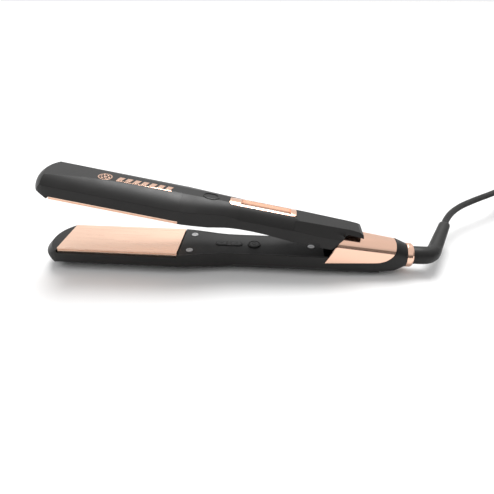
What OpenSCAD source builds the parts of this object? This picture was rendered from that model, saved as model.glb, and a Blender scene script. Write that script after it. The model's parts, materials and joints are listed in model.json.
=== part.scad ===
// Wide-plate hair straightener, lying open on its lower arm, built as separate pieces with real joints.
// Millimetres. X runs from the plate tips (-X) to the cord (+X), Z is up, the lower arm rests on Z = 0.
// A piece of the upper arm is drawn as its twin in the lower arm, flipped over and swung open.

/* [Arms] */
// how far the upper arm stands open at rest, in degrees
open_angle = 10.2; // [8:0.1:11]
// half the width of both arms beside the plates
paddle_half_w = 24.2; // [23.8:0.1:25]
// half the width of the handle
handle_half_w = 17.2; // [16.8:0.1:17.6]
// radius of the arm's back beside the plates
paddle_back_r = 36; // [34:1:40]
// radius of the arm's back along the handle
handle_back_r = 20; // [19:0.5:22]

/* [Plates] */
// length of a heating plate
plate_l = 110; // [104:1:112]
// width of a heating plate
plate_w = 44; // [42:0.5:44]
// how far each plate sinks when hair is pressed between them
float_travel = 1; // [0.6:0.1:1.1]

/* [Controls] */
// length of one of the two oblong buttons
button_l = 9.6; // [8:0.2:10]
// radius of the round power button
power_r = 4.2; // [3.8:0.1:4.6]

/* [Cord] */
// thickness of the mains cord
cord_d = 6.6; // [6:0.1:7]
// layers of cord in the coil
coil_layers = 4; // [3:1:4]

/* [Hidden] */
$fn = 64;

// heights
seam_z = 22;
face_z = 20.5;
rim_z = 18.2;
wall = 1.6;
cover_t = 1.6;
plate_gap = 0.3;
cover_z = face_z - cover_t;
board_z = 14.4;

// stations along the arm
tip_x = -167;
bow_r = 36;
bow_depth = 17;
bow_slope = 5;
plate_x0 = -150;
plate_x1 = plate_x0 + plate_l;
plate_mid = (plate_x0 + plate_x1) / 2;
cone_x0 = -40;
cone_x1 = 10;
cover_x0 = plate_x1 + 0.5;
cover_x1 = 90.8;
cap_x0 = 91.5;
cap_z0 = 14.2;
collar_x1 = 164.4;

// hinge
pivot_x = 122;
pivot_z = 18;
pin_r = 2.5;
pin_half = 12.4;
lug_r = 6;
knuckle_in = 4.2;
knuckle_out = 8.8;
ear_in = 9.2;
ear_out = 12;
coil_mean_r = 4.6;

// swivel and cord
tail_z = 16.3;
core_r = 3.2;
block_r = 7.6;
boot_r = 7.9;
elbow_x = 189;
leg_r = 6.8;
boot_end = [215, 50, 21.5];
boot_tip_r = 5.3;
coil_x = 366;
coil_y = 128;
coil_r = 38;
coil_wide = 3;
plug_x = coil_x + coil_r + cord_d + 3;
plug_y = 92;
plug_z = 8;

// oblique cone that joins the wide back of the plates to the round back of the handle
flat_cut = 0.5;
cone_slope = (paddle_back_r - handle_back_r) / (cone_x1 - cone_x0);
cone_tilt = atan(cone_slope);
cone_apex_x = cone_x1 + handle_back_r / cone_slope;

screw_spots = [[plate_x1 + 10, -14], [plate_x1 + 10, 14]];
hinge_screw = [80, 0];
float_x = [plate_mid - 35, plate_mid + 35];
minus_x = -2.3;
plus_x = 11.3;
power_x = 27.9;
button_r = 2.6;
lead_y = [-5.5, 5.5];

// where the free part of the cord runs, from the boot to the top turn of its coil
cord_route = [
    boot_end + 0.4 * [0.46, 0.88, 0.09], [220, 60, 22.5], [230, 74, 24], [243, 87, 25],
    [257, 98, 25.5], [271, 108, 26], [285, 118, 26], [297, 128, 25.5],
    [308, 139, 25], [318, 150, 24.5], [327.5, 162, 23.5]
];

// the short lead between the coil and the plug
tail_route = [
    [plug_x + 1, coil_y - 6, 3.6], [plug_x + 1, 114, 4.4], [plug_x, 106, 6.6], [plug_x, plug_y + 8.2, plug_z]
];

black = [0.13, 0.13, 0.13];
rose = [0.93, 0.72, 0.62];
steel = [0.75, 0.76, 0.78];
board_green = [0.1, 0.35, 0.2];
copper = [0.8, 0.5, 0.3];
cream = [0.9, 0.88, 0.8];
grey = [0.35, 0.35, 0.36];

// ---------- shared shapes ----------

function ease(t) = let (c = max(0, min(1, t))) c * c * (3 - 2 * c);

// half width of an arm at station x
function half_w(x) =
    x < -148 ? paddle_half_w * pow(max(0, 1 - pow((-148 - x) / 20.5, 2.6)), 1 / 2.6) :
    x < 88 ? paddle_half_w - (paddle_half_w - handle_half_w) * ease((x + 44) / 52) :
    handle_half_w - 4.9 * (x - 88) / 66;

// outline of an arm from above between two stations, t inside its wall
module plan(x0, x1, t) {
    steps = 44;
    xs = [for (i = [0 : steps]) x0 + (x1 - x0) * (1 - cos(90 * i / steps))];
    polygon(concat(
        [for (x = xs) [x, -max(0.3, half_w(x) - t)]],
        [for (i = [steps : -1 : 0]) [xs[i], max(0.3, half_w(xs[i]) - t)]]
    ));
}

// extrudes a side view, drawn in X and Z, to both sides of the middle
module side(half) {
    rotate([90, 0, 0]) linear_extrude(2 * half, center = true) children();
}

module along_x(x0, x1, r, z) {
    translate([x0, 0, z]) rotate([0, 90, 0]) cylinder(r = r, h = x1 - x0);
}

// straight round bar between two points
module bar(p, q, r0, r1) {
    d = q - p;
    translate(p) rotate([0, acos(d.z / norm(d)), atan2(d.y, d.x)]) cylinder(h = norm(d), r1 = r0, r2 = r1);
}

// rounded back of an arm, t inside its wall; the cone stands a hair proud, so its ends meet the
// round stretches in clear steps
module back(t) {
    intersection() {
        along_x(tip_x - 10, cone_x0, paddle_back_r - t, paddle_back_r - flat_cut);
        translate([-200, -30, -5]) cube([400, 60, 40]);
    }
    intersection() {
        translate([cone_apex_x, 0, -flat_cut - 0.06]) rotate([0, cone_tilt - 90, 0])
            translate([0, 0, t / sin(cone_tilt)]) cylinder(h = 160, r1 = 0, r2 = 160 * cone_slope);
        translate([cone_x0, -30, -5]) cube([cone_x1 - cone_x0, 60, 40]);
    }
    intersection() {
        along_x(cone_x1, 200, handle_back_r - t, handle_back_r - flat_cut);
        translate([0, -30, -5]) cube([200, 60, 40]);
    }
}

// round bow at the tip, t inside its wall, with room behind it for the rest of the arm
module bow(t) {
    translate([tip_x + bow_r, 0, 0]) rotate_extrude() intersection() {
        // the nose slopes back again towards the seam
        translate([-t, 0]) polygon([
            [t, -10], [bow_r + bow_slope, -10], [bow_r + bow_slope, face_z - 2 * bow_slope],
            [bow_r - bow_slope, face_z], [bow_r - bow_slope, 50], [t, 50]
        ]);
        union() {
            translate([bow_r - bow_depth, bow_depth]) circle(r = bow_depth - t);
            translate([0, t]) square([bow_r - bow_depth, 40]);
            translate([0, bow_depth]) square([bow_r - t, 25]);
        }
    }
    translate([tip_x + bow_r, -40, -10]) cube([400, 80, 60]);
}

// solid of one arm up to station x1, t inside its wall; its side view is the child shape
module arm_body(x1, t) {
    intersection() {
        linear_extrude(40) plan(tip_x - 1.5 + t, x1, t);
        back(t);
        bow(t);
        side(30) children();
    }
}

// side view of an arm's back from station x1 past the tip, and of its rim back to the handle: the
// rim is lower beside the plate
function outside_points(x1) = [
    [x1, 0], [-60, 0], [-100, 0.4], [-125, 1], [tip_x - 5, 3.6], [tip_x - 5, face_z],
    [plate_x0 - 0.6, face_z], [plate_x0 - 0.6, rim_z], [plate_x1 + 0.2, rim_z], [plate_x1 + 0.2, face_z]
];

// side view of the hollow, which starts where the plate does
function inside_points(x1) = [
    [x1, wall], [-60, wall], [plate_x0 - 0.4, wall + 2.2], [plate_x0 - 0.4, 40]
];

module solid_arm(t) {
    arm_body(80, t) polygon(concat(outside_points(80), [[80, face_z]]));
}

// puts a piece drawn in the lower arm in the same place on the upper arm, open at rest
module on_upper() {
    translate([pivot_x, 0, pivot_z]) rotate([0, open_angle, 0]) translate([-pivot_x, 0, -pivot_z])
        translate([0, 0, 2 * seam_z + plate_gap]) mirror([0, 0, 1]) children();
}

// rectangle with round corners
module rounded(w, h, r) {
    polygon([for (q = [0 : 3], i = [0 : 6]) let (sx = q == 0 || q == 3 ? 1 : -1, sy = q < 2 ? 1 : -1)
        [sx * (w / 2 - r) + r * cos(90 * q + 15 * i), sy * (h / 2 - r) + r * sin(90 * q + 15 * i)]]);
}

module at_spots(spots) {
    for (p = spots) translate([p.x, p.y, 0]) children();
}

// rounded section of the tail, t inside its surface, as four short bars
module tail_section(x, half, top, base, t) {
    for (s = [-1, 1]) {
        translate([x, s * (half - 11), top - 11]) rotate([0, 90, 0]) cylinder(r = 11 - t, h = 0.5, $fn = 48);
        translate([x, s * (half - 4), base + 4]) rotate([0, 90, 0]) cylinder(r = 4 - t, h = 0.5, $fn = 24);
    }
}

// outside of the tail between the hinge and the cord, t inside its surface
module tail_body(t) {
    hull() {
        tail_section(88, handle_half_w, 40.3, 4, t);
        tail_section(154, handle_half_w - 4.9, 30.9, 4.6, t);
    }
}

module collar_body(t) {
    hull() {
        tail_section(134, handle_half_w - 3.3, 33.8, 3, t);
        tail_section(154, handle_half_w - 4.8, 31, 4.6, t);
        along_x(collar_x1 - 1, collar_x1, 10.7 - t, tail_z);
    }
}

// side view of the cap, with every edge moved out by grow
module cap_side(grow) {
    front = grow * 1.2;
    polygon([
        [cap_x0 - front, cap_z0 - grow], [105.5 - front, 39], [108, 50], [153 + grow, 50],
        [153.4 + grow, 35], [153.8 + grow, 30], [153.2 + grow, 26], [151.6 + grow, 22],
        [149 + grow, 18.8 - grow], [145.5 + grow, 16.2 - grow], [141 + grow, 14.7 - grow], [136, cap_z0 - grow]
    ]);
}

// ---------- lower arm ----------

module shell_posts() {
    at_spots(screw_spots) cylinder(r = 3.4, h = cover_z);
    for (x = float_x) translate([x, 0, 0]) cylinder(r = 4.6, h = 10);
}

module screw_bores(spots) {
    at_spots(spots) translate([0, 0, 8]) cylinder(r = 1.5, h = 20);
}

// hollow body shared by both arms, with its posts and bores; the first child is the side view of
// its outside and the second that of its hollow
module arm_shell(x1) {
    difference() {
        union() {
            difference() {
                arm_body(x1, 0) children(0);
                arm_body(x1, wall) children(1);
            }
            intersection() {
                shell_posts();
                solid_arm(0.5);
            }
        }
        screw_bores(screw_spots);
        for (x = float_x) translate([x, 0, 4]) cylinder(r = 2.06, h = 20);
    }
}

module board_posts() {
    intersection() {
        for (x = [-4, 66], y = [-9, 9]) translate([x, y, 0]) cylinder(r = 2.2, h = board_z);
        solid_arm(0.5);
    }
}

module collar() {
    difference() {
        collar_body(0);
        intersection() {
            collar_body(wall);
            translate([100, -30, 0]) cube([56, 60, 60]);
        }
        side(30) cap_side(0.15);
        translate([100, -30, -10]) cube([36, 60, 80]);
    }
}

module hinge_ears() {
    for (s = [-1, 1]) translate([0, s * (ear_in + ear_out) / 2, 0]) intersection() {
        side((ear_out - ear_in) / 2) {
            polygon([[112, 0.6], [132, 0.6], [127, pivot_z], [117, pivot_z]]);
            translate([pivot_x, pivot_z]) circle(r = lug_r);
        }
        translate([0, -s * (ear_in + ear_out) / 2, 0]) union() {
            intersection() {
                back(0.6);
                translate([0, -30, 0]) cube([200, 60, 19]);
            }
            translate([100, -13, 15]) cube([40, 26, 20]);
        }
    }
}

module lower_shell() {
    color(black) difference() {
        union() {
            // the shell goes on under the cap as a shallow tub
            arm_shell(141) {
                polygon(concat(
                    [[141, 4.6], [137, 2.6], [132, 1], [127, 0.2]], outside_points(122),
                    [[94, face_z], [cap_x0 - 0.3, cap_z0], [141, cap_z0]]
                ));
                polygon(concat([[142, 40], [142, 6.2], [137, 4.2], [132, 2.6], [127, 1.8]], inside_points(122)));
            }
            board_posts();
            intersection() {
                at_spots([hinge_screw]) cylinder(r = 3.4, h = cover_z);
                back(0.5);
            }
            collar();
            hinge_ears();
            translate([102, -3.4, 1]) cube([6.8, 6.8, 6.5]);
        }
        translate([pivot_x, 0, pivot_z]) rotate([90, 0, 0]) cylinder(r = pin_r, h = 26, center = true);
        translate([105.4, 0, 3]) cylinder(r = 0.8, h = 10);
        screw_bores([hinge_screw]);
        along_x(144, 180, block_r, tail_z);
    }
}

// inner cover of an arm up to station x1; its outer face follows a line in the side view
module cover_sheet(x1, face_line) {
    last = len(face_line) - 1;
    difference() {
        intersection() {
            linear_extrude(40) plan(cover_x0, x1, wall + 0.1);
            side(30) polygon(concat(face_line, [for (i = [last : -1 : 0]) face_line[i] - [0, cover_t]]));
        }
        at_spots(concat(screw_spots, [hinge_screw])) {
            cylinder(r = 1.7, h = 40);
            translate([0, 0, face_z - 1.2]) cylinder(r = 3.4, h = 10);
        }
    }
}

// half of the oblong button pair: a round outer end and a square inner end
module button_outline(dir, grow) {
    square([button_l - 2 * button_r + 2 * grow, 2 * (button_r + grow)], center = true);
    translate([dir * (button_l / 2 - button_r), 0]) circle(r = button_r + grow);
    translate([-dir * (button_l / 2 - button_r / 2), 0])
        square([button_r + 2 * grow, 2 * (button_r + grow)], center = true);
}

module lower_cover() {
    color(black) {
        difference() {
            cover_sheet(cover_x1, [[100, face_z], [-50, face_z]]);
            translate([minus_x, 0, 0]) linear_extrude(40) button_outline(-1, 0.3);
            translate([plus_x, 0, 0]) linear_extrude(40) button_outline(1, 0.3);
            translate([power_x, 0, 0]) cylinder(r = power_r + 0.3, h = 40);
        }
        // raised rims round the buttons
        translate([0, 0, face_z]) linear_extrude(0.5) difference() {
            translate([(minus_x + plus_x) / 2, 0]) {
                square([18, 7.6], center = true);
                for (s = [-1, 1]) translate([s * 9, 0]) circle(r = 3.8);
            }
            translate([minus_x, 0]) button_outline(-1, 0.3);
            translate([plus_x, 0]) button_outline(1, 0.3);
        }
        translate([power_x, 0, face_z]) rotate_extrude()
            polygon([[power_r + 0.3, 0], [power_r + 2, 0], [power_r + 1.6, 1], [power_r + 0.6, 1]]);
    }
}

module plate_bar() {
    h = plate_w / 2;
    translate([plate_x0, 0, 0]) rotate([90, 0, 90]) linear_extrude(plate_l) polygon(concat(
        [[-h + 0.5, seam_z], [-h, seam_z - 0.5], [-h, seam_z - 1.1], [-h + 0.5, seam_z - 1.3],
         [-h + 0.5, seam_z - 1.7], [-h - 0.2, seam_z - 1.9], [-h - 0.2, seam_z - 3.6],
         [-h + 1.4, seam_z - 3.6], [-h + 1.4, seam_z - 2.2]],
        [[h - 1.4, seam_z - 2.2], [h - 1.4, seam_z - 3.6], [h + 0.2, seam_z - 3.6],
         [h + 0.2, seam_z - 1.9], [h - 0.5, seam_z - 1.7], [h - 0.5, seam_z - 1.3],
         [h, seam_z - 1.1], [h, seam_z - 0.5], [h - 0.5, seam_z]]
    ));
}

heater_l = 84;
heater_w = 18;
heater_t = 2.6;

module carrier() {
    top = seam_z - 2.2;
    difference() {
        translate([plate_x0 + 3, -plate_w / 2 + 1.5, 15]) cube([plate_l - 6, plate_w - 3, top - 15]);
        translate([plate_mid - heater_l / 2, -heater_w / 2, top - heater_t])
            cube([heater_l, heater_w, heater_t + 1]);
        for (s = [-1, 1]) translate([plate_mid - 46, s * 15 - 3.5, 16.5]) cube([92, 7, 10]);
    }
    for (x = float_x) translate([x, 0, 7]) cylinder(r = 2, h = 8.5);
}

module heater() {
    translate([plate_mid - heater_l / 2, -heater_w / 2, seam_z - 2.2 - heater_t])
        cube([heater_l, heater_w, heater_t]);
}

// coil of three turns round each guide post, resting on the shell's boss
module float_springs() {
    for (x = float_x) translate([x, 0, 10]) rotate_extrude() {
        for (i = [0 : 2]) translate([3.2, 0.6 + 1.1 * i]) circle(r = 0.6, $fn = 24);
    }
}

module screw(z) {
    translate([0, 0, 8]) cylinder(r = 1.5, h = z - 8);
    difference() {
        translate([0, 0, z - 1.1]) cylinder(r = 3.1, h = 1.3);
        translate([0, 0, z - 0.6]) linear_extrude(2) circle(r = 1.4, $fn = 6);
    }
}

module lower_plate() { color(rose) plate_bar(); }

module lower_carrier() { color(cream) carrier(); }

module lower_heater() { color(grey) heater(); }

module lower_springs() { color(steel) float_springs(); }

module thermal_fuse() {
    color(steel) translate([plate_mid, 0, 15 - 1.6]) rotate([90, 0, 0])
        cylinder(r = 1.6, h = 10, center = true);
}

module control_board() {
    color(board_green) translate([-10, -12, board_z]) cube([80, 24, 1.6]);
}

module tact_switches() {
    color(steel) for (x = [minus_x, plus_x, power_x]) translate([x, 0, board_z + 1.6]) {
        translate([-3, -3, 0]) cube([6, 6, 1]);
        cylinder(r = 1.6, h = 1.5);
    }
}

module oblong_button(dir) {
    linear_extrude(face_z - cover_z + 0.7) button_outline(dir, 0);
    translate([0, 0, -0.7]) linear_extrude(0.7) button_outline(dir, 0.8);
}

module minus_button() {
    color(black) translate([minus_x, 0, cover_z - 0.1]) difference() {
        oblong_button(-1);
        translate([-1.5, -0.3, 2.1]) cube([3, 0.6, 1]);
    }
}

module plus_button() {
    color(black) translate([plus_x, 0, cover_z - 0.1]) difference() {
        oblong_button(1);
        translate([-1.5, -0.3, 2.1]) cube([3, 0.6, 1]);
        translate([-0.3, -1.5, 2.1]) cube([0.6, 3, 1]);
    }
}

module power_button() {
    color(black) translate([power_x, 0, cover_z - 0.1]) difference() {
        union() {
            cylinder(r = power_r, h = 2.5);
            translate([0, 0, -0.7]) cylinder(r = power_r + 0.9, h = 0.7);
        }
        translate([0, 0, 2.2]) difference() {
            cylinder(r = 2.1, h = 1);
            cylinder(r = 1.5, h = 1);
        }
    }
}

module lower_screws() {
    color(steel) at_spots(concat(screw_spots, [hinge_screw])) screw(face_z);
}

// insulated leads from the board under the hinge to the swivel block
module lower_leads() {
    color(copper) for (y = lead_y) {
        route = [[62, y, board_z - 0.05], [62, y, 4.5], [128, y, 4.5], [144.2, y * 0.7, 13]];
        for (i = [0 : 2]) bar(route[i], route[i + 1], 0.9, 0.9);
        for (i = [1 : 2]) translate(route[i]) sphere(r = 1.1);
    }
}

module rear_cap() {
    color(rose) difference() {
        intersection() {
            tail_body(0);
            side(30) cap_side(0);
        }
        intersection() {
            tail_body(wall);
            translate([80, -30, 0]) cube([80, 60, 60]);
        }
        translate([80, -30, -10]) cube([80, 60, 10 + cap_z0 + 0.1]);
    }
}

module hinge_pin() {
    color(steel) translate([pivot_x, 0, pivot_z]) rotate([90, 0, 0])
        cylinder(r = pin_r, h = 2 * pin_half, center = true);
}

// spring turns round the pin, with one leg down to its seat in the shell
module hinge_spring() {
    leg = [[pivot_x - coil_mean_r, 0, pivot_z], [105.4, 0, 10.5], [105.4, 0, 3]];
    color(steel) {
        translate([pivot_x, 0, pivot_z]) rotate([90, 0, 0]) rotate_extrude()
            for (i = [-2 : 2]) translate([coil_mean_r, 1.5 * i]) circle(r = 0.8, $fn = 24);
        for (i = [0 : 1]) bar(leg[i], leg[i + 1], 0.8, 0.8);
        translate(leg[1]) sphere(r = 0.8);
    }
}

module swivel_ring() {
    color(rose) translate([collar_x1, 0, tail_z]) rotate([0, 90, 0]) rotate_extrude()
        polygon([[8.5, 0], [10.7, 0], [11, 0.6], [10.9, 4.4], [10.2, 5.6], [9.5, 6], [8.5, 6]]);
}

module slip_block() {
    color(cream) difference() {
        along_x(144, collar_x1, block_r, tail_z);
        along_x(140, 180, core_r + 0.05, tail_z);
        along_x(149.5, 152.5, 5, tail_z);
    }
}

module contact_ring() {
    color(copper) difference() {
        along_x(149.5, 152.5, 5, tail_z);
        along_x(149, 153, core_r + 0.05, tail_z);
    }
}

// ---------- upper arm ----------

// shallow arch in the face of the upper handle, from the hinge end to the plate end
arch = [
    [66, face_z], [60, 20.1], [50, 19.2], [38, 18.2], [25, 17.7], [14, 17.8], [4, 18.4], [-6, 19.6],
    [-14, face_z]
];

// upside down, so its back is at 0 and the lip over the hinge is at the right
module upper_shell() {
    rim = [for (i = [4 : 9]) outside_points(0)[i]];
    color(black) on_upper() difference() {
        arm_shell(120) {
            polygon(concat(
                [[50, 0], [62, 2.2], [108, 2.2], [116, 2.9], [119, 4.2], [119.6, 6.4], [106, 5.6],
                    [103.5, 7], [95, face_z], [84, face_z], [83.4, 17.8], [74, 17.8], [72, face_z]],
                arch,
                [for (i = [len(rim) - 1 : -1 : 0]) rim[i]],
                [[-125, 1], [-100, 0.4], [-60, 0]]
            ));
            polygon([
                [plate_x0 - 0.4, 40], [plate_x0 - 0.4, wall + 2.2], [-60, wall], [46, wall], [60, 4.2],
                [103, 4.2], [103, 40]
            ]);
        }
        // sloping sides of the flat-topped rear, which narrows towards the lip
        for (s = [-1, 1]) translate([58, s * 10.4, 2.2]) rotate([0, 0, -2.2 * s]) rotate([90, 0, 90])
            linear_extrude(80) polygon([[0, 0], [s * 15, 15], [s * 15, -8], [0, -8]]);
        translate([0, 0, -5]) linear_extrude(10) trim_outline(-0.1);
    }
}

trim_x0 = 0;
trim_x1 = 59;
trim_half = 7;

module trim_outline(inset) {
    translate([(trim_x0 + trim_x1) / 2, 0])
        rounded(trim_x1 - trim_x0 - 2 * inset, 2 * (trim_half - inset), 3 - inset);
}

module upper_cover() {
    color(black) on_upper() cover_sheet(71.8, concat([[80, face_z]], arch, [[-50, face_z]]));
}

module upper_plate() { color(rose) on_upper() plate_bar(); }

module upper_carrier() { color(cream) on_upper() carrier(); }

module upper_heater() { color(grey) on_upper() heater(); }

module upper_springs() { color(steel) on_upper() float_springs(); }

module upper_screws() {
    color(steel) on_upper() at_spots(screw_spots) screw(face_z);
}

// web under the hood that splits into two lugs round the hinge pin
module hinge_knuckle() {
    pin_z = 2 * seam_z + plate_gap - pivot_z;
    color(black) on_upper() difference() {
        union() {
            side(knuckle_out) polygon([
                [86, 8], [88, 4.2], [99, 4.2], [99.4, 9.5], [100.2, 13.6], [101.2, 23], [92, 19.5], [86, 18]
            ]);
            for (s = [-1, 1]) translate([0, s * (knuckle_in + knuckle_out) / 2, 0])
                side((knuckle_out - knuckle_in) / 2) {
                    polygon([[98, 13.2], [112, 15], [124, 20.8], [120, 31.9], [98, 22]]);
                    translate([pivot_x, pin_z]) circle(r = lug_r - 0.2);
                }
        }
        translate([pivot_x, 0, pin_z]) rotate([90, 0, 0]) cylinder(r = pin_r + 0.05, h = 40, center = true);
    }
}

module light_trim() {
    color(rose) on_upper() difference() {
        intersection() {
            translate([0, 0, -1]) linear_extrude(7.2) trim_outline(0.1);
            along_x(-10, 70, handle_back_r + 0.2, handle_back_r - flat_cut + 0.3);
        }
        translate([trim_x0 + 10, -5, -5]) cube([44, 10, 9.3]);
        translate([trim_x0 + 9, -5.6, 4.3]) cube([46, 11.2, 5]);
    }
}

module light_lens() {
    color(cream) on_upper() translate([trim_x0 + 9.1, -5.5, 4.3]) cube([45.8, 11, 1]);
}

module light_board() {
    color(board_green) on_upper() {
        translate([5, -6, 6.2]) cube([50, 12, 1.2]);
        for (i = [0 : 4]) translate([14 + 8.5 * i, -1.5, 5.6]) cube([3, 3, 0.6]);
    }
}

// thin skin that lies on the arm's back, cut to the child outline
module skin(t) {
    difference() {
        intersection() {
            translate([0, 0, -10]) linear_extrude(20) children();
            translate([0, 0, -t]) solid_arm(0);
        }
        solid_arm(0);
    }
}

// raised oval edge that a fingertip finds
module thumb_pad() {
    color(black) on_upper() skin(0.5) translate([-16.5, -1]) difference() {
        rounded(14.6, 11, 5.4);
        rounded(12, 8.4, 4.1);
    }
}

// plain rosette: a ring round seven dots
module emblem_disc() {
    color(rose) on_upper() skin(0.25) translate([-108.5, -2.5]) {
        difference() {
            circle(r = 6);
            circle(r = 5);
        }
        circle(r = 1.3);
        for (i = [0 : 5]) rotate(60 * i) translate([3.2, 0]) circle(r = 0.95);
    }
}

// row of slanted bars over a thin line
module emblem_bars() {
    color(rose) on_upper() skin(0.25) {
        for (i = [0 : 6]) translate([-98 + 7 * i, -2.5])
            polygon([[0, -2.6], [4.6, -2.6], [6, 3.6], [1.4, 3.6]]);
        translate([-98, -6.9]) square([48, 0.8]);
    }
}

// ---------- swivel and cord ----------

elbow = [elbow_x, 0, tail_z];
boot_dir = (boot_end - elbow) / norm(boot_end - elbow);

module cord_boot() {
    color(black) difference() {
        union() {
            along_x(collar_x1 + 2.2, elbow_x, boot_r, tail_z);
            translate(elbow) sphere(r = boot_r);
            bar(elbow, boot_end, leg_r, boot_tip_r);
        }
        along_x(collar_x1, 182, core_r, tail_z);
    }
}

module swivel_core() {
    color(steel) along_x(146, 182, core_r, tail_z);
}

function ring_points(p, d, n) =
    let (u = cross(d, [0, 0, 1]) / norm(cross(d, [0, 0, 1])), v = cross(u, d))
    [for (k = [0 : n - 1]) p + cord_d / 2 * (cos(360 * k / n) * u + sin(360 * k / n) * v)];

// tube with flat ends through the points of a route
module sweep(route) {
    n = 10;
    last = len(route) - 1;
    heading = [for (i = [0 : last])
        let (d = route[min(last, i + 1)] - route[max(0, i - 1)]) d / norm(d)];
    points = [for (i = [0 : last]) each ring_points(route[i], heading[i], n)];
    walls = [for (i = [0 : last - 1], k = [0 : n - 1])
        [i * n + k, i * n + (k + 1) % n, (i + 1) * n + (k + 1) % n, (i + 1) * n + k]];
    triangles = [for (w = walls) each [[w[0], w[1], w[2]], [w[0], w[2], w[3]]]];
    polyhedron(points, concat(
        triangles,
        [[for (k = [n - 1 : -1 : 0]) k]],
        [[for (k = [0 : n - 1]) last * n + k]]
    ));
}

module cord_tube() { color(grey) sweep(cord_route); }

module cord_tail() { color(grey) sweep(tail_route); }

module cord_coil() {
    color(grey) translate([coil_x, coil_y, 0]) rotate_extrude()
        translate([coil_r - coil_wide * cord_d / 2, 0]) square([coil_wide * cord_d, coil_layers * cord_d]);
}

module plug_body() {
    color(black) {
        bar([plug_x, plug_y + 8, plug_z], [plug_x, plug_y - 10, plug_z], 4, 5.6);
        translate([plug_x, 0, 0]) linear_extrude(2 * plug_z) polygon([
            [-6, plug_y - 8], [-12, plug_y - 20], [-17.5, plug_y - 26], [-17.5, plug_y - 38],
            [17.5, plug_y - 38], [17.5, plug_y - 26], [12, plug_y - 20], [6, plug_y - 8]
        ]);
    }
}

module plug_pins() {
    color(steel) for (s = [-1, 1])
        bar([plug_x + s * 9.3, plug_y - 38, plug_z], [plug_x + s * 9.3, plug_y - 57, plug_z], 2, 2);
}

lower_shell();
lower_cover();
lower_plate();
lower_carrier();
lower_heater();
lower_springs();
thermal_fuse();
control_board();
tact_switches();
minus_button();
plus_button();
power_button();
lower_screws();
lower_leads();
rear_cap();
hinge_pin();
hinge_spring();
swivel_ring();
slip_block();
contact_ring();
upper_shell();
upper_cover();
upper_plate();
upper_carrier();
upper_heater();
upper_springs();
upper_screws();
hinge_knuckle();
light_trim();
light_lens();
light_board();
thumb_pad();
emblem_disc();
emblem_bars();
cord_boot();
swivel_core();
cord_tube();
cord_coil();
cord_tail();
plug_body();
plug_pins();
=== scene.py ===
"""Looks of the wide-plate hair straightener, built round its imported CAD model, in metres."""

import json
import math

import bmesh
import bpy
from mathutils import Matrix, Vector


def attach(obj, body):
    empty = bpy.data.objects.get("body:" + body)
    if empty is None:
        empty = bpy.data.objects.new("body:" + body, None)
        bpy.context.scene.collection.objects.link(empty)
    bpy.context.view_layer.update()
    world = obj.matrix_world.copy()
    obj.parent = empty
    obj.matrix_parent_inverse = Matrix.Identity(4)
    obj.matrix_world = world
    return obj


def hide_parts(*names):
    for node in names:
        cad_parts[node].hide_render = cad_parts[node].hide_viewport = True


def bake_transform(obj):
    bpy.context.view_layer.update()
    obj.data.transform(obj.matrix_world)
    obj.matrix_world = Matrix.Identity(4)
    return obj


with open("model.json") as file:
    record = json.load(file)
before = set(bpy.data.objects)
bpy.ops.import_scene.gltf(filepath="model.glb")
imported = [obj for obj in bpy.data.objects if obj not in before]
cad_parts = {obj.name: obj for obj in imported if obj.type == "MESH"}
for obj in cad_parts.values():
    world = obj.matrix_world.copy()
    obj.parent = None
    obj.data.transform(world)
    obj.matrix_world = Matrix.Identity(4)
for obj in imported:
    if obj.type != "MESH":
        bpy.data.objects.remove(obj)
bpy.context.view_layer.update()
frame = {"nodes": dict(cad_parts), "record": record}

MM = 0.001
SLOTS = {part["node"]: part["material_slot"] for part in frame["record"]["subparts"]}

# ---------- sizes shared with the CAD source, in millimetres ----------

CORD_D = 6.6
TAIL_Z = 16.3
BOOT_START = Vector((166.6, 0, TAIL_Z))
ELBOW = Vector((189, 0, TAIL_Z))
BOOT_END = Vector((215, 50, 21.5))
BOOT_R = 7.9
LEG_R = 6.6
BOOT_TIP_R = 5.3

COIL_CENTRE = Vector((366, 128, 0))
COIL_R = 38
COIL_WIDE = 3
COIL_LAYERS = 4
COIL_TURNS = 11.39
COIL_START_DEG = 138.5
PLUG_X = COIL_CENTRE.x + COIL_R + CORD_D + 3
PLUG_Y = 92
PLUG_Z = 8

# from the boot to the top turn of the coil
ROUTE = [
    (215, 50, 21.5), (220, 60, 22.5), (230, 74, 24), (243, 87, 25), (257, 98, 25.5),
    (271, 108, 26), (285, 118, 26), (297, 128, 25.5), (308, 139, 25), (318, 150, 24.5),
]

# from the lowest turn of the coil to the plug
TAIL = [(412.4, 118, 4), (413.4, 110, 5.8), (PLUG_X, 103, 7.4), (PLUG_X, PLUG_Y + 6, PLUG_Z)]


# ---------- camera ----------

CAMERA_TARGET = Vector((0.02121, 0, 0.01749))
CAMERA_AZIMUTH = math.radians(4.4)
CAMERA_ELEVATION = math.radians(31.93)
CAMERA_DISTANCE = 0.37193
CAMERA_LENS = 29.15


def make_camera():
    azimuth, elevation = CAMERA_AZIMUTH, CAMERA_ELEVATION
    back = Vector((
        math.sin(azimuth) * math.cos(elevation),
        -math.cos(azimuth) * math.cos(elevation),
        math.sin(elevation),
    ))
    data = bpy.data.cameras.new("camera")
    data.sensor_width = 36
    data.lens = CAMERA_LENS
    data.clip_start = 0.01
    camera = bpy.data.objects.new("camera", data)
    bpy.context.scene.collection.objects.link(camera)
    camera.location = CAMERA_TARGET + back * CAMERA_DISTANCE
    camera.rotation_mode = "QUATERNION"
    camera.rotation_quaternion = (-back).to_track_quat("-Z", "Y")
    bpy.context.scene.camera = camera


# ---------- mesh tools ----------

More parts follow.
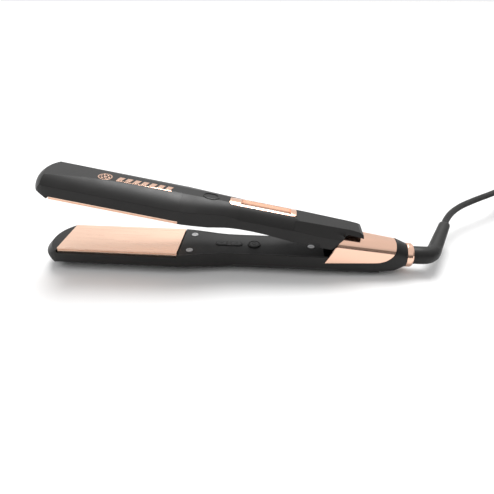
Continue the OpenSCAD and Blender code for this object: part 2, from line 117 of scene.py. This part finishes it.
def new_object(name, mesh_maker):
    """A smooth-shaded object from a function that fills a bmesh, in metres."""
    bm = bmesh.new()
    mesh_maker(bm)
    mesh = bpy.data.meshes.new(name)
    bmesh.ops.recalc_face_normals(bm, faces=bm.faces)
    bm.to_mesh(mesh)
    bm.free()
    for face in mesh.polygons:
        face.use_smooth = True
    obj = bpy.data.objects.new(name, mesh)
    bpy.context.scene.collection.objects.link(obj)
    return obj


def smooth_path(points, step):
    """Points about one step apart on the Catmull-Rom curve through the given ones."""
    ends = [2 * points[0] - points[1], *points, 2 * points[-1] - points[-2]]
    path = []
    for a, b, c, d in zip(ends, ends[1:], ends[2:], ends[3:]):
        count = max(1, round((c - b).length / step))
        for i in range(count):
            t = i / count
            path.append(0.5 * (
                2 * b + (c - a) * t + (2 * a - 5 * b + 4 * c - d) * t ** 2
                + (3 * b - a - 3 * c + d) * t ** 3
            ))
    return [*path, points[-1]]


def sweep(bm, path, section):
    """Skins a closed tube round a path. section(i) gives the points of ring i as (side, up) pairs."""
    rings, ring_uvs, along = [], [], 0.0
    side = None
    for i, point in enumerate(path):
        before, after = path[max(0, i - 1)], path[min(len(path) - 1, i + 1)]
        heading = (after - before).normalized()
        if side is None:
            side = heading.cross(Vector((0, 0, 1))).normalized()
        side = (side - heading * side.dot(heading)).normalized()
        up = side.cross(heading)
        along += (point - before).length if i else 0.0
        rings.append([bm.verts.new(point + side * a + up * b) for a, b in section(i)])
        ring_uvs.append(along)
    uv = bm.loops.layers.uv.new("along_around")
    count = len(rings[0])
    for i, (ring, following) in enumerate(zip(rings, rings[1:])):
        for k in range(count):
            quad = (ring[k], ring[(k + 1) % count], following[(k + 1) % count], following[k])
            face = bm.faces.new(quad)
            corners = ((i, k), (i, k + 1), (i + 1, k + 1), (i + 1, k))
            for loop, (j, q) in zip(face.loops, corners):
                loop[uv].uv = (ring_uvs[j], q / count)
    bm.faces.new(rings[0])
    bm.faces.new(rings[-1])


def round_section(radius, count=16):
    return [
        (radius * math.cos(2 * math.pi * k / count), radius * math.sin(2 * math.pi * k / count))
        for k in range(count)
    ]


def soft_box(half_w, half_h, power, count=40):
    """Points round a superellipse: a power of 2 is an ellipse, and more is squarer."""
    points = []
    for k in range(count):
        angle = 2 * math.pi * k / count
        c, s = math.cos(angle), math.sin(angle)
        points.append((
            math.copysign(half_w * abs(c) ** (2 / power), c),
            math.copysign(half_h * abs(s) ** (2 / power), s),
        ))
    return points


# ---------- cord ----------

# the part of a turn in which the cord moves over to the next place, and how far it swings out there
STEP_OVER_SHARE = 0.3
STEP_OVER_SWING = 0.3 * CORD_D
# the lead-in is joined to the coil a short way into its first turn
LEAD_IN_TURNS = 0.06
PATH_STEP = 3


def ease(t):
    t = max(0.0, min(1.0, t))
    return t * t * (3 - 2 * t)


def coil_path(turns, steps_per_turn=48):
    """Turns laid beside and on each other, from the top outer one down to the bottom outer one."""
    outer = COIL_R + (COIL_WIDE - 1) / 2 * CORD_D
    cells = [(outer + CORD_D, (COIL_LAYERS - 0.5) * CORD_D)]
    for layer in range(COIL_LAYERS):
        radii = [outer - i * CORD_D for i in range(COIL_WIDE)]
        if layer % 2:
            radii.reverse()
        cells += [(r, (COIL_LAYERS - 0.5 - layer) * CORD_D) for r in radii]
    start_angle = math.radians(COIL_START_DEG)
    path = []
    for step in range(1, round(turns * steps_per_turn) + 1):
        u = step / steps_per_turn
        k = min(int(u), len(cells) - 2)
        (r0, z0), (r1, z1) = cells[k], cells[k + 1]
        share = ease((u - k) / STEP_OVER_SHARE)
        # a turn that drops to the next layer swings clear of its neighbours
        swing = STEP_OVER_SWING * math.sin(math.pi * share) if z0 != z1 else 0.0
        radius = r0 + (r1 - r0) * share + (swing if r0 > COIL_R else -swing)
        angle = start_angle - 2 * math.pi * u
        path.append(COIL_CENTRE + Vector((
            radius * math.cos(angle), radius * math.sin(angle), z0 + (z1 - z0) * share
        )))
    return path


def make_cord():
    run = smooth_path([Vector(p) for p in ROUTE] + coil_path(LEAD_IN_TURNS)[:1], PATH_STEP)
    coil = coil_path(COIL_TURNS)
    tail = smooth_path([coil[-1], *[Vector(p) for p in TAIL]], PATH_STEP)
    path = [p * MM for p in run[:-1] + coil + tail[1:]]
    cord = new_object(
        "cord", lambda bm: sweep(bm, path, lambda i: round_section(CORD_D / 2 * MM))
    )
    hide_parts("cord_tube", "cord_coil", "cord_tail")
    return cord, path


def make_plug():
    """Moulded two-pin plug, lofted from its neck to its face."""
    stations = [
        (6, 3.6, 3.6, 2), (5, 4.4, 4.4, 2), (-6, 5.4, 5.4, 2), (-9, 6.6, 6.2, 2.4), (-14, 9.4, 6.9, 2.8),
        (-19, 12.2, 7.5, 3.4), (-23, 15.4, 7.9, 4), (-26, 17.2, 8, 4.6), (-30, 17.5, 8, 5),
        (-36.6, 17.4, 7.9, 5), (-37.7, 16.9, 7.4, 5), (-38, 16.2, 6.7, 5),
    ]
    path = [Vector((PLUG_X, PLUG_Y + y, PLUG_Z)) * MM for y, *_ in stations]

    def section(i):
        _, half_w, half_h, power = stations[i]
        return soft_box(half_w * MM, half_h * MM, power)

    plug = new_object("plug", lambda bm: sweep(bm, path, section))
    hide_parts("plug_body")
    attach(plug, "lower_arm")
    return plug


# how far before and after its corner the elbow starts and ends, and the stretch past it in which the
# leg gets thinner
ELBOW_BEFORE = 8
ELBOW_AFTER = 9
THINNING_START = -6
THINNING_LENGTH = 18
LEG_FLATNESS = 0.08


def make_boot():
    """Strain relief on the swivel: a short straight leg, a round elbow and a tapered leg."""
    first = (ELBOW - BOOT_START).normalized()
    second = (BOOT_END - ELBOW).normalized()
    bend_in, bend_out = ELBOW - first * ELBOW_BEFORE, ELBOW + second * ELBOW_AFTER
    elbow = []
    for i in range(13):
        t = i / 12
        elbow.append((1 - t) ** 2 * bend_in + 2 * t * (1 - t) * ELBOW + t * t * bend_out)
    lip = [BOOT_END + second * d for d in (-1.2, -0.6, -0.2, 0)]
    legs = [BOOT_START, BOOT_START + first * 0.6, *elbow]
    taper = [bend_out + (lip[0] - bend_out) * i / 10 for i in range(1, 10)]
    path = [*legs, *taper, *lip]
    lip_drop = [0, 0.35, 0.9, 1.7]

    def section(i):
        point = path[i]
        reach = (point - ELBOW).dot(second)
        share = max(0, reach / (BOOT_END - ELBOW).length)
        thinned = ease((reach - THINNING_START) / THINNING_LENGTH)
        radius = BOOT_R + (LEG_R - BOOT_R) * thinned + (BOOT_TIP_R - LEG_R) * share
        if i == 0:
            radius -= 0.6
        if i >= len(path) - len(lip_drop):
            radius -= lip_drop[i - len(path) + len(lip_drop)]
        # the tapered leg is a little flatter than it is wide
        return soft_box(radius * MM, radius * (1 - LEG_FLATNESS * share) * MM, 2.2, 32)

    metres = [p * MM for p in path]
    boot = new_object("boot", lambda bm: sweep(bm, metres, section))
    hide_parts("cord_boot")
    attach(boot, "swivel")
    return boot


# ---------- materials ----------

class Finish:
    """One Principled material and short ways to vary it."""

    def __init__(self, name, base, roughness, metallic=0.0, **constants):
        self.material = bpy.data.materials.new(name)
        self.material.use_nodes = True
        self.tree = self.material.node_tree
        self.shader = self.tree.nodes["Principled BSDF"]
        self.base = base
        self.roughness = roughness
        self.set("Base Color", (*base, 1))
        self.set("Roughness", roughness)
        self.set("Metallic", metallic)
        for key, value in constants.items():
            self.set(key.replace("_", " "), value)
        self.place = self.add("ShaderNodeTexCoord").outputs["Object"]
        self.normal = None

    def set(self, socket, value):
        self.shader.inputs[socket].default_value = value

    def add(self, kind, **values):
        node = self.tree.nodes.new(kind)
        for key, value in values.items():
            socket = node.inputs.get(key.replace("_", " "))
            if socket is None:
                setattr(node, key, value)
            else:
                socket.default_value = value
        return node

    def link(self, output, socket):
        self.tree.links.new(output, socket)

    def noise(self, scale, detail=3.0, stretch=None):
        node = self.add("ShaderNodeTexNoise", Scale=scale, Detail=detail)
        place = self.place
        if stretch:
            mapping = self.add("ShaderNodeMapping", Scale=stretch)
            self.link(place, mapping.inputs["Vector"])
            place = mapping.outputs["Vector"]
        self.link(place, node.inputs["Vector"])
        return node.outputs["Fac"]

    def vary_colour(self, pattern, spread):
        """The base colour from darker to lighter by spread as the pattern goes from low to high."""
        ramp = self.add("ShaderNodeValToRGB")
        ramp.color_ramp.elements[0].position = 0.3
        ramp.color_ramp.elements[1].position = 0.7
        ramp.color_ramp.elements[0].color = (*[c * (1 - spread) for c in self.base], 1)
        ramp.color_ramp.elements[1].color = (*[min(1, c * (1 + spread)) for c in self.base], 1)
        self.link(pattern, ramp.inputs["Fac"])
        self.link(ramp.outputs["Color"], self.shader.inputs["Base Color"])

    def vary_roughness(self, pattern, spread):
        node = self.add("ShaderNodeMapRange")
        node.inputs["From Min"].default_value = 0.3
        node.inputs["From Max"].default_value = 0.7
        node.inputs["To Min"].default_value = self.roughness - spread
        node.inputs["To Max"].default_value = self.roughness + spread
        self.link(pattern, node.inputs["Value"])
        self.link(node.outputs["Result"], self.shader.inputs["Roughness"])

    def bump(self, pattern, depth, strength=1.0):
        """Relief of the given depth in metres, on top of what is there already."""
        node = self.add("ShaderNodeBump", Strength=strength, Distance=depth)
        self.link(pattern, node.inputs["Height"])
        if self.normal is not None:
            self.link(self.normal, node.inputs["Normal"])
        self.normal = node.outputs["Normal"]
        self.link(self.normal, self.shader.inputs["Normal"])

    def soften_edges(self, radius):
        node = self.add("ShaderNodeBevel", Radius=radius)
        node.samples = 6
        self.normal = node.outputs["Normal"]
        self.link(self.normal, self.shader.inputs["Normal"])


def moulded(name, base, roughness, grain=0.000012, edge=0.0006):
    """Black moulding with a fine soft grain, cloudy sheen and soft edges."""
    f = Finish(name, base, roughness, Specular_IOR_Level=0.28)
    f.soften_edges(edge)
    f.vary_colour(f.noise(45, 4), 0.12)
    f.vary_roughness(f.noise(60, 5), 0.05)
    f.bump(f.noise(2600, 2), grain)
    return f.material


def plated(name, base, roughness, edge=0.0004):
    """Polished plating with faint ripples and handling marks."""
    f = Finish(name, base, roughness, 1.0)
    f.soften_edges(edge)
    f.vary_roughness(f.noise(90, 6), 0.02)
    f.bump(f.noise(70, 2), 0.000008)
    return f.material


def heating_plate(name, base):
    """Satin coated plate with a faint grain along its length."""
    f = Finish(name, base, 0.3, 1.0, Coat_Weight=0.12, Coat_Roughness=0.25)
    f.soften_edges(0.0004)
    grain = f.noise(900, 3, stretch=(0.03, 1, 1))
    f.vary_colour(f.noise(14, 3), 0.02)
    f.vary_roughness(grain, 0.04)
    f.bump(grain, 0.000003)
    return f.material


def metal(name, base, roughness, edge=0.0002):
    f = Finish(name, base, roughness, 1.0)
    f.soften_edges(edge)
    grain = f.noise(1400, 3, stretch=(0.1, 1, 1))
    f.vary_roughness(grain, 0.06)
    f.bump(grain, 0.000004)
    return f.material


def plain(name, base, roughness, grain=0.00001):
    f = Finish(name, base, roughness)
    f.vary_colour(f.noise(300, 3), 0.08)
    f.vary_roughness(f.noise(500, 3), 0.05)
    f.bump(f.noise(1800, 2), grain)
    return f.material


def rubber(name, base):
    f = Finish(name, base, 0.5, Specular_IOR_Level=0.3)
    f.vary_colour(f.noise(120, 4), 0.1)
    f.vary_roughness(f.noise(200, 3), 0.05)
    f.bump(f.noise(3000, 2), 0.00001)
    return f.material


def braid(name, base):
    """Woven sleeve: two sets of strands wound in opposite directions, with painted shade in the gaps
    between the strands.
    """
    f = Finish(name, base, 0.7, Sheen_Weight=0.12, Sheen_Roughness=0.4, Specular_IOR_Level=0.3)
    uv = f.add("ShaderNodeUVMap", uv_map="along_around").outputs["UV"]
    parts = f.add("ShaderNodeSeparateXYZ")
    f.link(uv, parts.inputs["Vector"])
    strands, waves = 9, []
    pitch = strands / (math.pi * CORD_D * MM)
    for turn in (1, -1):
        along = f.add("ShaderNodeMath", operation="MULTIPLY")
        along.inputs[1].default_value = 2 * math.pi * pitch * turn
        f.link(parts.outputs["X"], along.inputs[0])
        both = f.add("ShaderNodeMath", operation="MULTIPLY_ADD")
        both.inputs[1].default_value = 2 * math.pi * strands
        f.link(parts.outputs["Y"], both.inputs[0])
        f.link(along.outputs[0], both.inputs[2])
        wave = f.add("ShaderNodeMath", operation="SINE")
        f.link(both.outputs[0], wave.inputs[0])
        waves.append(wave.outputs[0])
    weave_and_gap_shade = f.add("ShaderNodeMath", operation="MAXIMUM")
    f.link(waves[0], weave_and_gap_shade.inputs[0])
    f.link(waves[1], weave_and_gap_shade.inputs[1])
    # painted shade: the colour is darker in the gaps between the strands and lighter on their crowns,
    # following the same pattern as the relief
    f.vary_colour(weave_and_gap_shade.outputs[0], 0.35)
    f.bump(weave_and_gap_shade.outputs[0], 0.00025, 0.8)
    f.bump(f.noise(2500, 3), 0.00006)
    return f.material


def make_materials():
    rose = (0.9, 0.58, 0.44)
    return {
        "black_shell": moulded("black_shell", (0.0105, 0.0098, 0.0094), 0.4),
        "black_inner": moulded("black_inner", (0.01, 0.0096, 0.0094), 0.48, 0.00002, 0.0003),
        "black_button": moulded("black_button", (0.009, 0.0088, 0.0086), 0.34, 0.000008, 0.0003),
        "rose_plate": heating_plate("rose_plate", (0.93, 0.64, 0.49)),
        "rose_chrome": plated("rose_chrome", rose, 0.16),
        "carrier_ceramic": plain("carrier_ceramic", (0.62, 0.58, 0.5), 0.6),
        "heater_grey": plain("heater_grey", (0.25, 0.25, 0.26), 0.7),
        "steel": metal("steel", (0.36, 0.36, 0.365), 0.32),
        "pin_brass": metal("pin_brass", (0.72, 0.66, 0.52), 0.22),
        "board": plain("board", (0.02, 0.12, 0.05), 0.4),
        "lead_insulation": plain("lead_insulation", (0.4, 0.03, 0.02), 0.5),
        "block_plastic": plain("block_plastic", (0.6, 0.57, 0.5), 0.5),
        "lens_white": plain("lens_white", (0.86, 0.83, 0.79), 0.35, 0.000003),
        "boot_rubber": rubber("boot_rubber", (0.012, 0.0116, 0.0112)),
        "cord_braid": braid("cord_braid", (0.014, 0.0132, 0.013)),
        "plug_rubber": rubber("plug_rubber", (0.012, 0.012, 0.012)),
    }


def paint(obj, material):
    obj.data.materials.clear()
    obj.data.materials.append(material)


# ---------- surroundings ----------

def make_floor():
    mesh = bpy.data.meshes.new("floor")
    size = 30
    corners = [(-size, -size, 0), (size, -size, 0), (size, size, 0), (-size, size, 0)]
    mesh.from_pydata(corners, [], [(0, 1, 2, 3)])
    floor = bpy.data.objects.new("floor", mesh)
    bpy.context.scene.collection.objects.link(floor)
    f = Finish("floor_white", (0.86, 0.86, 0.86), 0.9)
    f.vary_colour(f.noise(3, 2), 0.005)
    paint(floor, f.material)


def make_light():
    """A bright studio, dim low down on the viewer's side, with one wide soft sun from behind."""
    world = bpy.data.worlds.new("studio")
    bpy.context.scene.world = world
    world.use_nodes = True
    tree = world.node_tree
    background = tree.nodes["Background"]
    place = tree.nodes.new("ShaderNodeTexCoord")
    parts = tree.nodes.new("ShaderNodeSeparateXYZ")
    tree.links.new(place.outputs["Generated"], parts.inputs["Vector"])
    heights = tree.nodes.new("ShaderNodeValToRGB")
    stops = heights.color_ramp
    stops.elements[0].position, stops.elements[0].color = 0.0, (0.12, 0.12, 0.12, 1)
    stops.elements[1].position, stops.elements[1].color = 0.55, (1, 1, 1, 1)
    stops.elements.new(0.3).color = (0.2, 0.2, 0.2, 1)
    tree.links.new(parts.outputs["Z"], heights.inputs["Fac"])
    rear = tree.nodes.new("ShaderNodeMapRange")
    rear.inputs["From Min"].default_value = -0.15
    rear.inputs["From Max"].default_value = 0.25
    tree.links.new(parts.outputs["Y"], rear.inputs["Value"])
    mix = tree.nodes.new("ShaderNodeMix")
    mix.data_type = "RGBA"
    tree.links.new(rear.outputs["Result"], mix.inputs["Factor"])
    tree.links.new(heights.outputs["Color"], mix.inputs["A"])
    mix.inputs["B"].default_value = (1, 1, 1, 1)
    tree.links.new(mix.outputs["Result"], background.inputs["Color"])
    background.inputs["Strength"].default_value = 0.86
    sun = bpy.data.lights.new("soft_sun", "SUN")
    sun.energy = 2.6
    sun.angle = math.radians(32)
    lamp = bpy.data.objects.new("soft_sun", sun)
    lamp.rotation_euler = (math.radians(-28), 0, 0)
    bpy.context.scene.collection.objects.link(lamp)
    bpy.context.scene.view_settings.view_transform = "Standard"


# ---------- build ----------

make_camera()
cord, cord_path = make_cord()
plug = make_plug()
boot = make_boot()
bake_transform(cord)

materials = make_materials()
for name, obj in frame["nodes"].items():
    paint(obj, materials[SLOTS[name]])
for obj, slot in ((cord, "cord_braid"), (plug, "plug_rubber"), (boot, "boot_rubber")):
    paint(obj, materials[slot])

make_floor()
make_light()
